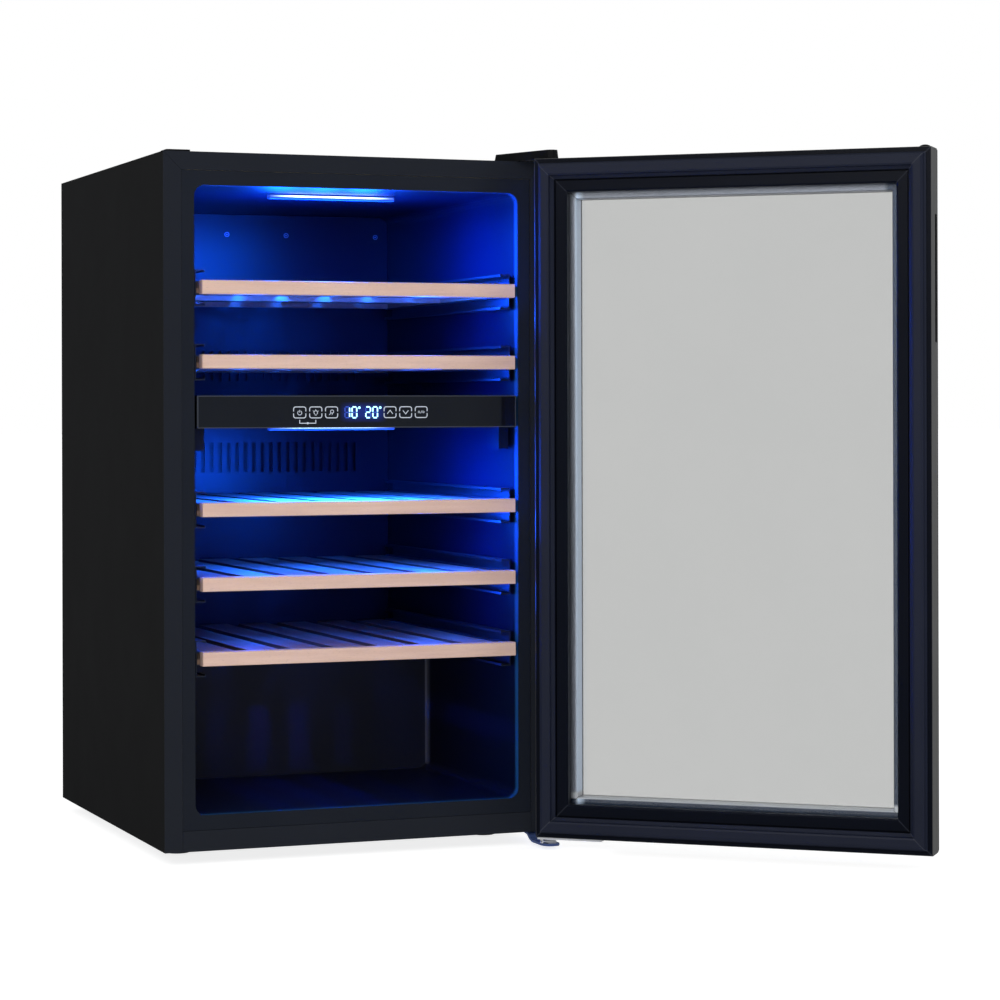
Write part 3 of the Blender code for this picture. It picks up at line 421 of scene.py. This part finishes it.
def liner():
    """Dark moulded liner with a satin face. Its zones paint light and shade: the inside painted blue for the
    lamps' blue light, painted shade towards the back, the step painted lighter as lit, a painted highlight on the
    step's right corner, and a painted blue highlight along the opening's inner edge.
    """
    step_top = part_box("machine_bay_panel")[1].z + 0.030

    def deep(s):
        return s.range(axis_of(s, "Y"), FRONT + 0.10, FRONT + 0.44, 0.0, 1.0)

    def lip(s):
        near = s.range(axis_of(s, "Y"), FRONT + 0.010, FRONT + 0.016, 1.0, 0.0)
        return s.math("MULTIPLY", behind_front(s), near)

    def step(s):
        low = s.range(axis_of(s, "Z"), step_top - 0.004, step_top, 1.0, 0.0)
        return s.math("MULTIPLY", low, s.range(axis_of(s, "Y"), FRONT + 0.325, FRONT + 0.335, 0.0, 1.0))

    def corner(s):
        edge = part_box("lower_duct_cover")[1].x
        beyond = s.range(axis_of(s, "X"), edge - 0.0022, edge - 0.0016, 0.0, 1.0)
        return s.math("MULTIPLY", step(s), beyond)

    zones = [
        # painted light: everything behind the front edge coloured blue for the lamps' blue light
        (behind_front, (0.0012, 0.0050, 0.0260)),
        # painted shade: darker towards the back
        (deep, (0.0034, 0.0018, 0.0062)),
        # painted light: the step coloured lighter where light falls on it
        (step, (0.0200, 0.0225, 0.0300)),
        # painted highlight: a light line on the step's right corner
        (corner, (0.150, 0.155, 0.170)),
        # painted highlight: a bright blue line along the opening's inner edge
        (lip, (0.012, 0.075, 0.210)),
    ]
    return grained(
        "liner_plastic", (0.0075, 0.0100, 0.0165), 0.36, size=0.0011, depth=0.00004, spread=0.06, zones=zones
    )


FINISHES = {
    "black_steel": grained(
        "black_steel", (0.0066, 0.0064, 0.0062), 0.60, size=0.0007, depth=0.00004, spread=0.03, level=0.08,
        # painted light: the front face is coloured lighter and bluer than the sides, where the lamps light it
        zones=[(front_face, (0.0118, 0.0140, 0.0195))],
    ),
    "back_steel": grained(
        "back_steel", (0.030, 0.030, 0.032), 0.50, size=0.0006, depth=0.00004, Metallic=0.4
    ),
    "zinc_steel": galvanised("zinc_steel", (0.50, 0.51, 0.53), 0.38),
    "liner_plastic": liner(),
    "black_plastic": grained(
        "black_plastic", (0.0042, 0.0044, 0.0048), 0.50, size=0.0008, depth=0.00008, level=0.1
    ),
    "panel_glass": panel_glass(),
    "lamp_lens": lamp_lens(),
    "foam": grained("foam", (0.72, 0.60, 0.34), 0.92, size=0.004, depth=0.0010, patch=0.04),
    "compressor_paint": grained("compressor_paint", (0.012, 0.012, 0.013), 0.30, size=0.003, depth=0.00005),
    "coil_metal": brushed("coil_metal", (0.60, 0.30, 0.17), 0.34, along=(30, 1, 30)),
    "foot_rubber": grained("foot_rubber", (0.016, 0.016, 0.016), 0.75, size=0.0012, depth=0.00012),
    "hinge_steel": brushed("hinge_steel", (0.58, 0.59, 0.62), 0.26, along=(30, 1, 30), size=0.02),
    "outer_pane": outer_pane(),
    "inner_pane": inner_pane(),
    # painted light: the flank zones colour both frames' side faces light grey, where they catch the lamps
    "outer_frame_plastic": grained(
        "outer_frame_plastic", (0.020, 0.020, 0.021), 0.46, level=0.15, zones=[(flank, (0.098, 0.097, 0.093))]
    ),
    "inner_frame_plastic": grained(
        "inner_frame_plastic", (0.0018, 0.0030, 0.0075), 0.34, level=0.12,
        zones=[(mitre_line, (0.030, 0.033, 0.045)), (flank, (0.088, 0.087, 0.083))],
    ),
    "spacer_aluminium": spacer_metal(),
    "gasket_rubber": grained(
        "gasket_rubber", (0.0080, 0.0110, 0.0245), 0.50, size=0.0012, depth=0.00004, level=0.2,
        zones=[(mitre_line, (0.040, 0.044, 0.058))],
    ),
    "beech_front": beech("beech_front", (0.70, 0.495, 0.400), (0.57, 0.375, 0.300), 0.50, 0),
    "beech_rack": beech("beech_rack", (0.36, 0.225, 0.150), (0.26, 0.150, 0.095), 0.60, 1, painted_slat_side_shade),
    # painted shade and painted blue lamp light: the rail steel coloured dark and blue
    "rail_steel": brushed("rail_steel", (0.085, 0.105, 0.15), 0.42, along=(30, 1, 30)),
}

OWN_FINISH = {
    # painted reflection: the hinge arm coloured blue for the lamps' blue light that it reflects
    "bottom_hinge_bracket": brushed(
        "hinge_painted_blue_reflection", (0.085, 0.135, 0.34), 0.22, along=(30, 1, 30), size=0.02, Metallic=0.45
    ),
    "door_bottom_plate": grained("plated_strip", (0.50, 0.51, 0.54), 0.45, level=0.4),
}

for name, obj in NODES.items():
    obj.data.materials.clear()
    obj.data.materials.append(OWN_FINISH.get(name, FINISHES[SLOT_OF[name]]))


# ---- added pieces
def piece(name, bm, body, slot, material=None):
    bmesh.ops.recalc_face_normals(bm, faces=bm.faces)
    mesh = bpy.data.meshes.new(name)
    bm.to_mesh(mesh)
    bm.free()
    obj = bpy.data.objects.new(name, mesh)
    bpy.context.scene.collection.objects.link(obj)
    mesh.materials.append(material or FINISHES[slot])
    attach(obj, body)
    return obj


def slab(bm, points, y_low, y_high):
    """A closed outline in x and z, made solid between two y."""
    near = [bm.verts.new((x, y_low, z)) for x, z in points]
    far = [bm.verts.new((x, y_high, z)) for x, z in points]
    bm.faces.new(near)
    bm.faces.new(list(reversed(far)))
    for i in range(len(points)):
        j = (i + 1) % len(points)
        bm.faces.new((near[i], far[i], far[j], near[j]))


def stroke(bm, points, width, y_low, y_high):
    """A line of even width along points in x and z, mitred at its corners."""
    left, right = [], []
    for i, (x, z) in enumerate(points):
        before = Vector(points[max(i - 1, 0)])
        after = Vector(points[min(i + 1, len(points) - 1)])
        here = Vector((x, z))
        first = (here - before).normalized() if i else (after - here).normalized()
        second = (after - here).normalized() if i < len(points) - 1 else first
        middle = (first + second).normalized()
        normal = Vector((-middle.y, middle.x))
        reach = width / 2 / max(0.5, normal.dot(Vector((-first.y, first.x))))
        left.append((x + normal.x * reach, z + normal.y * reach))
        right.append((x - normal.x * reach, z - normal.y * reach))
    slab(bm, left + right[::-1], y_low, y_high)


def bow(x, z, radius, start, end, steps=10):
    turns = [math.radians(start + (end - start) * i / steps) for i in range(steps + 1)]
    return [(x + radius * math.cos(t), z + radius * math.sin(t)) for t in turns]


def ring(bm, x, z, radius, width, y_low, y_high, start=0.0, end=360.0):
    for first in (start, (start + end) / 2):
        stroke(bm, bow(x, z, radius, first, first + (end - start) / 2, 10), width, y_low, y_high)


def glowing(name, colour, strength, base):
    s = Surface(name).set(Emission_Strength=strength, Roughness=0.4)
    soft = s.noise(0.002)
    s.link(s.ramp(soft, [(0.3, tinted(colour, 0.9)), (0.7, colour)]), s.shader.inputs["Emission Color"])
    return s.finish(s.ramp(soft, [(0.3, base), (0.7, tinted(base, 1.1))]))


INK = glowing("key_ink", (0.42, 0.46, 0.52), 0.55, (0.30, 0.32, 0.36))
DIGIT = glowing("display_digit", (0.32, 0.78, 1.0), 2.2, (0.4, 0.6, 0.8))
DIM = glowing("display_segment", (0.010, 0.050, 0.42), 0.8, (0.02, 0.05, 0.3))


def build_keys():
    """The key outlines, open at their sides, and the sign inside each."""
    face = PANEL_LOW.y
    near, far = face - 0.00012, face + 0.0001
    z = KEY_ROW_Z
    half_w, half_h, corner, line = 0.0078, 0.0067, 0.0026, 0.0011
    centres = [LEFT + x for x in (0.1700, 0.1905, 0.2108, 0.2865, 0.3069, 0.3273)]
    bm = bmesh.new()
    for x in centres:
        for up in (1, -1):
            outline = [(x - half_w, z + up * 0.0012)]
            for side, start, end in ((-1, 180, 90), (1, 90, 0)):
                turn = bow(x + side * (half_w - corner), half_h - corner, corner, start, end, 5)
                outline += [(a, z + up * b) for a, b in turn]
            outline += [(x + half_w, z + up * 0.0012)]
            stroke(bm, outline, line, near, far)
    sign = 0.0008
    x = centres[0]
    ring(bm, x, z - 0.0005, 0.0026, sign, near, far, 120, 420)
    stroke(bm, [(x, z + 0.0030), (x, z - 0.0002)], sign, near, far)
    x = centres[1]
    ring(bm, x, z - 0.0002, 0.0023, sign, near, far, -60, 240)
    for turn in (30, 90, 150):
        a, b = math.cos(math.radians(turn)), math.sin(math.radians(turn))
        ray = [(x + a * reach, z - 0.0002 + b * reach) for reach in (0.0031, 0.0043)]
        stroke(bm, ray, sign * 0.8, near, far)
    stroke(bm, [(x - 0.0012, z - 0.0032), (x + 0.0012, z - 0.0032)], sign, near, far)
    x = centres[2]
    ring(bm, x + 0.0006, z + 0.0010, 0.0020, sign, near, far)
    stroke(bm, [(x - 0.0030, z - 0.0032), (x - 0.0008, z - 0.0006)], sign, near, far)
    stroke(bm, [(x + 0.0004, z - 0.0032), (x + 0.0012, z - 0.0014)], sign * 0.8, near, far)
    x = centres[3]
    stroke(bm, [(x - 0.0036, z - 0.0020), (x, z + 0.0024), (x + 0.0036, z - 0.0020)], sign * 1.15, near, far)
    x = centres[4]
    stroke(bm, [(x - 0.0036, z + 0.0022), (x, z - 0.0022), (x + 0.0036, z + 0.0022)], sign * 1.15, near, far)
    x = centres[5]
    ring(bm, x - 0.0029, z + 0.0002, 0.0011, sign * 0.7, near, far)
    ring(bm, x + 0.0029, z + 0.0002, 0.0011, sign * 0.7, near, far)
    stroke(bm, [(x - 0.0009, z - 0.0017), (x + 0.0009, z + 0.0021)], sign * 0.7, near, far)
    low = z - 0.0132
    left, right = centres[0], centres[1]
    stroke(bm, [(left, low + 0.0042), (left, low), (right, low)], 0.0010, near, far)
    stroke(bm, [(right, low - 0.0005), (right, low + 0.0042)], 0.0010, near, far)
    middle = (left + right) / 2
    dot = [(middle + a * 0.0014, low + b * 0.0014) for a, b in bow(0, 0, 1, 0, 330, 11)]
    slab(bm, dot, near - 0.00003, far)
    return piece("key_marks", bm, "cabinet", "panel_glass", INK)


SEGMENTS = {
    "a": ((0.12, 1.0), (0.88, 1.0)),
    "b": ((1.0, 0.93), (1.0, 0.56)),
    "c": ((1.0, 0.44), (1.0, 0.07)),
    "d": ((0.12, 0.0), (0.88, 0.0)),
    "e": ((0.0, 0.44), (0.0, 0.07)),
    "f": ((0.0, 0.93), (0.0, 0.56)),
    "g": ((0.12, 0.5), (0.88, 0.5)),
}
LIT = {"0": "abcdef", "1": "bc", "2": "abdeg"}


def build_digits():
    """Two lit temperatures of seven-segment digits, each with its degree ring, over the unlit segments."""
    face = PANEL_LOW.y
    width, height = 0.0060, 0.0132
    z = KEY_ROW_Z - height / 2
    lit, dark = bmesh.new(), bmesh.new()
    for x, digit in ((0.2280, "1"), (0.2372, "0"), (0.2550, "2"), (0.2641, "0")):
        for key, ends in SEGMENTS.items():
            points = [(LEFT + x + a * width, z + b * height) for a, b in ends]
            if key in LIT[digit]:
                stroke(lit, points, 0.0016, face - 0.00016, face + 0.0001)
            else:
                stroke(dark, points, 0.0013, face - 0.00010, face + 0.0001)
    for x in (0.2466, 0.2738):
        ring(lit, LEFT + x, z + height - 0.0009, 0.0011, 0.0008, face - 0.00016, face + 0.0001)
    piece("display_digits", lit, "cabinet", "panel_glass", DIGIT)
    piece("display_unlit", dark, "cabinet", "panel_glass", DIM)


def dome(bm, centre, radius, height, axis="z", rings=4, steps=24, sink=0.0004):
    """A low rounded cap that stands on a face, its axis outwards along +z or -y."""
    tilt = {"z": 0.0, "-y": math.pi / 2}[axis]
    turn = Matrix.Rotation(tilt, 3, "X")
    rows = []
    profile = [(radius, -sink)]
    for k in range(rings):
        rise = k * math.pi / 2 / rings
        profile.append((radius * math.cos(rise), height * math.sin(rise)))
    for r, h in profile:
        row = []
        for i in range(steps):
            a = 2 * math.pi * i / steps
            row.append(bm.verts.new(Vector(centre) + turn @ Vector((r * math.cos(a), r * math.sin(a), h))))
        rows.append(row)
    top = bm.verts.new(Vector(centre) + turn @ Vector((0, 0, height)))
    for low, high in zip(rows, rows[1:]):
        for i in range(steps):
            j = (i + 1) % steps
            bm.faces.new((low[i], low[j], high[j], high[i]))
    for i in range(steps):
        bm.faces.new((rows[-1][i], rows[-1][(i + 1) % steps], top))
    bm.faces.new(list(reversed(rows[0])))


def door_point(x, inward, z):
    """A point of the standing-open door from its place on the closed door: x from the free edge, inward from
    its inner face, and z."""
    closed = Vector((LEFT + x, FRONT - DOOR_GAP - inward, z))
    flat = Vector((PIVOT.x, PIVOT.y, 0.0))
    return Matrix.Rotation(OPEN_ANGLE, 3, "Z") @ (closed - flat) + flat


def smooth(obj):
    for polygon in obj.data.polygons:
        polygon.use_smooth = True


def plate(bm, outline, z_low, z_high):
    """A closed outline in x and y, made solid between two z."""
    low = [bm.verts.new((x, y, z_low)) for x, y in outline]
    high = [bm.verts.new((x, y, z_high)) for x, y in outline]
    bm.faces.new(low)
    bm.faces.new(list(reversed(high)))
    for i in range(len(outline)):
        j = (i + 1) % len(outline)
        bm.faces.new((low[i], high[i], high[j], low[j]))


def build_door_plug():
    """The cap over the unused hinge hole at the free end of the door's top."""
    bm = bmesh.new()
    dome(bm, door_point(0.0125, 0.0275, DOOR_HIGH), 0.0080, 0.0046, sink=0.0006)
    smooth(piece("door_hole_plug", bm, "door", "inner_frame_plastic", FINISHES["black_plastic"]))


def build_duct_screws():
    """Ringed screw holes along the top of the upper duct cover and the foot of the lower one."""
    upper_low, upper_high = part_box("upper_duct_cover")
    lower_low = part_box("lower_duct_cover")[0]
    bm = bmesh.new()
    places = [(x, upper_high.z - 0.0275) for x in (0.0568, 0.2214, 0.3069, 0.4382)]
    places += [(x, lower_low.z + 0.0300) for x in (0.0568, 0.2475, 0.4382)]
    face = upper_low.y
    for x, z in places:
        ring(bm, LEFT + x, z, 0.0030, 0.0008, face - 0.0007, face + 0.0002)
        dome(bm, (LEFT + x, face, z), 0.0012, 0.0006, "-y", 3, 12)
    piece("duct_screws", bm, "cabinet", "hinge_steel", brushed("screw_steel", (0.20, 0.25, 0.34), 0.40))


def build_hinge_clip():
    """The circlip, washer and stop lever round the lower hinge pin, between arm and door foot plate."""
    x, y = PIVOT.x, PIVOT.y
    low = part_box("bottom_hinge_bracket")[0].z + 0.0032
    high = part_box("door_bottom_plate")[0].z - 0.0006

    def disc(radius, steps=24):
        return [(x + a, y + b) for a, b in bow(0, 0, radius, 0, 360 - 360 / steps, steps - 1)]

    bm = bmesh.new()
    plate(bm, disc(0.0066), low, low + 0.0012)
    lever = [(-0.0135, -0.0030), (-0.0030, -0.0052), (0.0052, -0.0036), (0.0072, 0.0004), (0.0044, 0.0046)]
    lever += [(-0.0040, 0.0052), (-0.0135, 0.0030)]
    plate(bm, [(x + a, y + b) for a, b in lever], low + 0.0016, low + 0.0028)
    plate(bm, disc(0.0045), low + 0.0031, low + 0.0040)
    plate(bm, disc(0.0056), high - 0.0010, high)
    tab = [(-0.0135, -0.0030), (-0.0120, -0.0030), (-0.0120, 0.0030), (-0.0135, 0.0030)]
    plate(bm, [(x + a, y + b) for a, b in tab], low, high - 0.0008)
    steel = brushed("clip_steel", (0.92, 0.94, 0.97), 0.30, Metallic=0.45)
    piece("hinge_clip", bm, "cabinet", "hinge_steel", steel)


build_keys()
build_digits()
build_door_plug()
build_duct_screws()
build_hinge_clip()


# ---- studio
def build_floor():
    """A plain pale floor: bright to the eye and through glass, dim in reflections."""
    bm = bmesh.new()
    for x, y in ((-40, -40), (40, -40), (40, 60), (-40, 60)):
        bm.verts.new((x, y, -0.0005))
    bm.faces.new(bm.verts)
    mesh = bpy.data.meshes.new("studio_floor")
    bm.to_mesh(mesh)
    bm.free()
    floor = bpy.data.objects.new("studio_floor", mesh)
    bpy.context.scene.collection.objects.link(floor)
    s = Surface("studio_floor").set(Specular_IOR_Level=0.0, Roughness=1.0, Emission_Strength=0.78)
    s.shader.inputs["Base Color"].default_value = (0.55, 0.55, 0.55, 1.0)
    s.shader.inputs["Emission Color"].default_value = (1.0, 1.0, 1.0, 1.0)
    path = s.node("ShaderNodeLightPath")
    through, dim = s.node("ShaderNodeEmission"), s.node("ShaderNodeEmission")
    through.inputs["Color"].default_value = (1.0, 1.0, 1.0, 1.0)
    dim.inputs["Color"].default_value = (0.12, 0.125, 0.135, 1.0)
    first, second = s.node("ShaderNodeMixShader"), s.node("ShaderNodeMixShader")
    s.link(path.outputs["Is Glossy Ray"], first.inputs["Fac"])
    s.link(s.shader.outputs["BSDF"], first.inputs[1])
    s.link(dim.outputs["Emission"], first.inputs[2])
    s.link(path.outputs["Is Transmission Ray"], second.inputs["Fac"])
    s.link(first.outputs["Shader"], second.inputs[1])
    s.link(through.outputs["Emission"], second.inputs[2])
    s.link(second.outputs["Shader"], s.output.inputs["Surface"])
    mesh.materials.append(s.material)


def build_world():
    """White to the eye, a soft even light on matt surfaces, and a dimmer room in reflections."""
    world = bpy.data.worlds.new("studio")
    bpy.context.scene.world = world
    world.use_nodes = True
    tree = world.node_tree
    tree.nodes.clear()
    new = tree.nodes.new
    output = new("ShaderNodeOutputWorld")
    path = new("ShaderNodeLightPath")
    seen = new("ShaderNodeMath")
    seen.operation = "MAXIMUM"
    tree.links.new(path.outputs["Is Camera Ray"], seen.inputs[0])
    tree.links.new(path.outputs["Is Transmission Ray"], seen.inputs[1])
    white = new("ShaderNodeBackground")
    white.inputs["Color"].default_value = (1, 1, 1, 1)
    white.inputs["Strength"].default_value = 1.0
    soft = new("ShaderNodeBackground")
    soft.inputs["Color"].default_value = (0.97, 0.985, 1.0, 1)
    soft.inputs["Strength"].default_value = 0.62
    room = new("ShaderNodeBackground")
    place = new("ShaderNodeTexCoord")
    parts = new("ShaderNodeSeparateXYZ")
    tree.links.new(place.outputs["Generated"], parts.inputs["Vector"])
    ramp = new("ShaderNodeValToRGB")
    ramp.color_ramp.elements[0].position = 0.52
    ramp.color_ramp.elements[0].color = (0.15, 0.16, 0.18, 1)
    ramp.color_ramp.elements[1].position = 0.98
    ramp.color_ramp.elements[1].color = (0.60, 0.63, 0.68, 1)
    lift = new("ShaderNodeMath")
    lift.operation = "MULTIPLY_ADD"
    lift.inputs[1].default_value = 0.5
    lift.inputs[2].default_value = 0.5
    tree.links.new(parts.outputs["Z"], lift.inputs[0])
    tree.links.new(lift.outputs["Value"], ramp.inputs["Fac"])
    tree.links.new(ramp.outputs["Color"], room.inputs["Color"])
    room.inputs["Strength"].default_value = 0.8
    gloss = new("ShaderNodeMixShader")
    tree.links.new(path.outputs["Is Glossy Ray"], gloss.inputs["Fac"])
    tree.links.new(soft.outputs["Background"], gloss.inputs[1])
    tree.links.new(room.outputs["Background"], gloss.inputs[2])
    mix = new("ShaderNodeMixShader")
    tree.links.new(seen.outputs["Value"], mix.inputs["Fac"])
    tree.links.new(gloss.outputs["Shader"], mix.inputs[1])
    tree.links.new(white.outputs["Background"], mix.inputs[2])
    tree.links.new(mix.outputs["Shader"], output.inputs["Surface"])


def area(name, place, aim, size, power, colour=(1, 1, 1), height=None, gloss=1.0):
    lamp = bpy.data.lights.new(name, "AREA")
    lamp.shape = "RECTANGLE"
    lamp.size = size
    lamp.size_y = height or size
    lamp.energy = power
    lamp.color = colour
    lamp.specular_factor = gloss
    obj = bpy.data.objects.new(name, lamp)
    obj.location = place
    obj.rotation_euler = (Vector(aim) - Vector(place)).to_track_quat("-Z", "Y").to_euler()
    bpy.context.scene.collection.objects.link(obj)
    return obj


def point(name, place, power, colour, radius=0.004):
    lamp = bpy.data.lights.new(name, "POINT")
    lamp.energy = power
    lamp.color = colour
    lamp.shadow_soft_size = radius
    lamp.specular_factor = 0.25
    obj = bpy.data.objects.new(name, lamp)
    obj.location = place
    bpy.context.scene.collection.objects.link(obj)
    return obj


BLUE = (0.003, 0.085, 1.0)
GLOWS = 3


def build_lamps():
    area("key_light", (-2.6, -3.4, 2.6), (0, 0, 0.5), 2.2, 62, (1.0, 0.985, 0.965), gloss=0.3)
    area("fill_light", (2.8, -2.4, 1.6), (0, 0, 0.5), 1.8, 18, (0.96, 0.98, 1.0), gloss=0.3)
    for zone in ("upper_lamp", "lower_lamp"):
        low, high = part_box(zone)
        middle = (low + high) / 2
        below = Vector((middle.x, middle.y, low.z - 0.0015))
        under = below - Vector((0, 0, 1))
        strip = area(f"{zone}_strip", below, under, high.x - low.x, 14.0, BLUE, 0.010, gloss=0.4)
        strip.rotation_euler = (0, 0, 0)
        for i in range(GLOWS):
            x = low.x + (high.x - low.x) * (i + 0.5) / GLOWS
            point(f"{zone}_glow_{i}", (x, middle.y + 0.030, low.z - 0.055), 2.6, BLUE, 0.025)
    build_spill()


def build_spill():
    """The lamps' light that has passed between the slats of each rack, two soft sources under each."""
    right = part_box("shelf_1_front")[1].x
    for shelf, power in ((5, 2.4), (4, 1.0), (3, 2.0), (2, 0.8), (1, 0.10)):
        low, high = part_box(f"shelf_{shelf}_rack")
        place = (right - 0.085, low.y + 0.075, low.z - 0.020)
        point(f"spill_{shelf}", place, power, BLUE, 0.02)
        left_place = (right - 0.30, low.y + 0.14, low.z - 0.022)
        point(f"spill_left_{shelf}", left_place, power * 0.5, BLUE, 0.02)


CAMERA_OFFSET = Vector((-0.89269, -3.38023, 0.53168))
CAMERA_TURN = -21.40216
CAMERA_ROLL = -0.13948
LENS_MM = 104.431158
LENS_SHIFT = -0.091282


def build_camera():
    """The camera, placed from the lower left corner of the cabinet's front."""
    camera = bpy.data.cameras.new("camera")
    camera.sensor_width = 36.0
    camera.lens = LENS_MM
    camera.shift_y = LENS_SHIFT
    camera.clip_end = 200.0
    obj = bpy.data.objects.new("camera", camera)
    bpy.context.scene.collection.objects.link(obj)
    place = Vector((LEFT, FRONT, FLOOR_GAP)) + CAMERA_OFFSET
    turn = Matrix.Rotation(math.radians(CAMERA_TURN), 4, "Z") @ Matrix.Rotation(math.radians(90.0), 4, "X")
    roll = Matrix.Rotation(math.radians(CAMERA_ROLL), 4, "Z")
    obj.matrix_world = Matrix.Translation(place) @ turn @ roll
    bpy.context.scene.camera = obj


build_floor()
build_world()
build_lamps()
build_camera()
bpy.context.scene.view_settings.view_transform = "Standard"
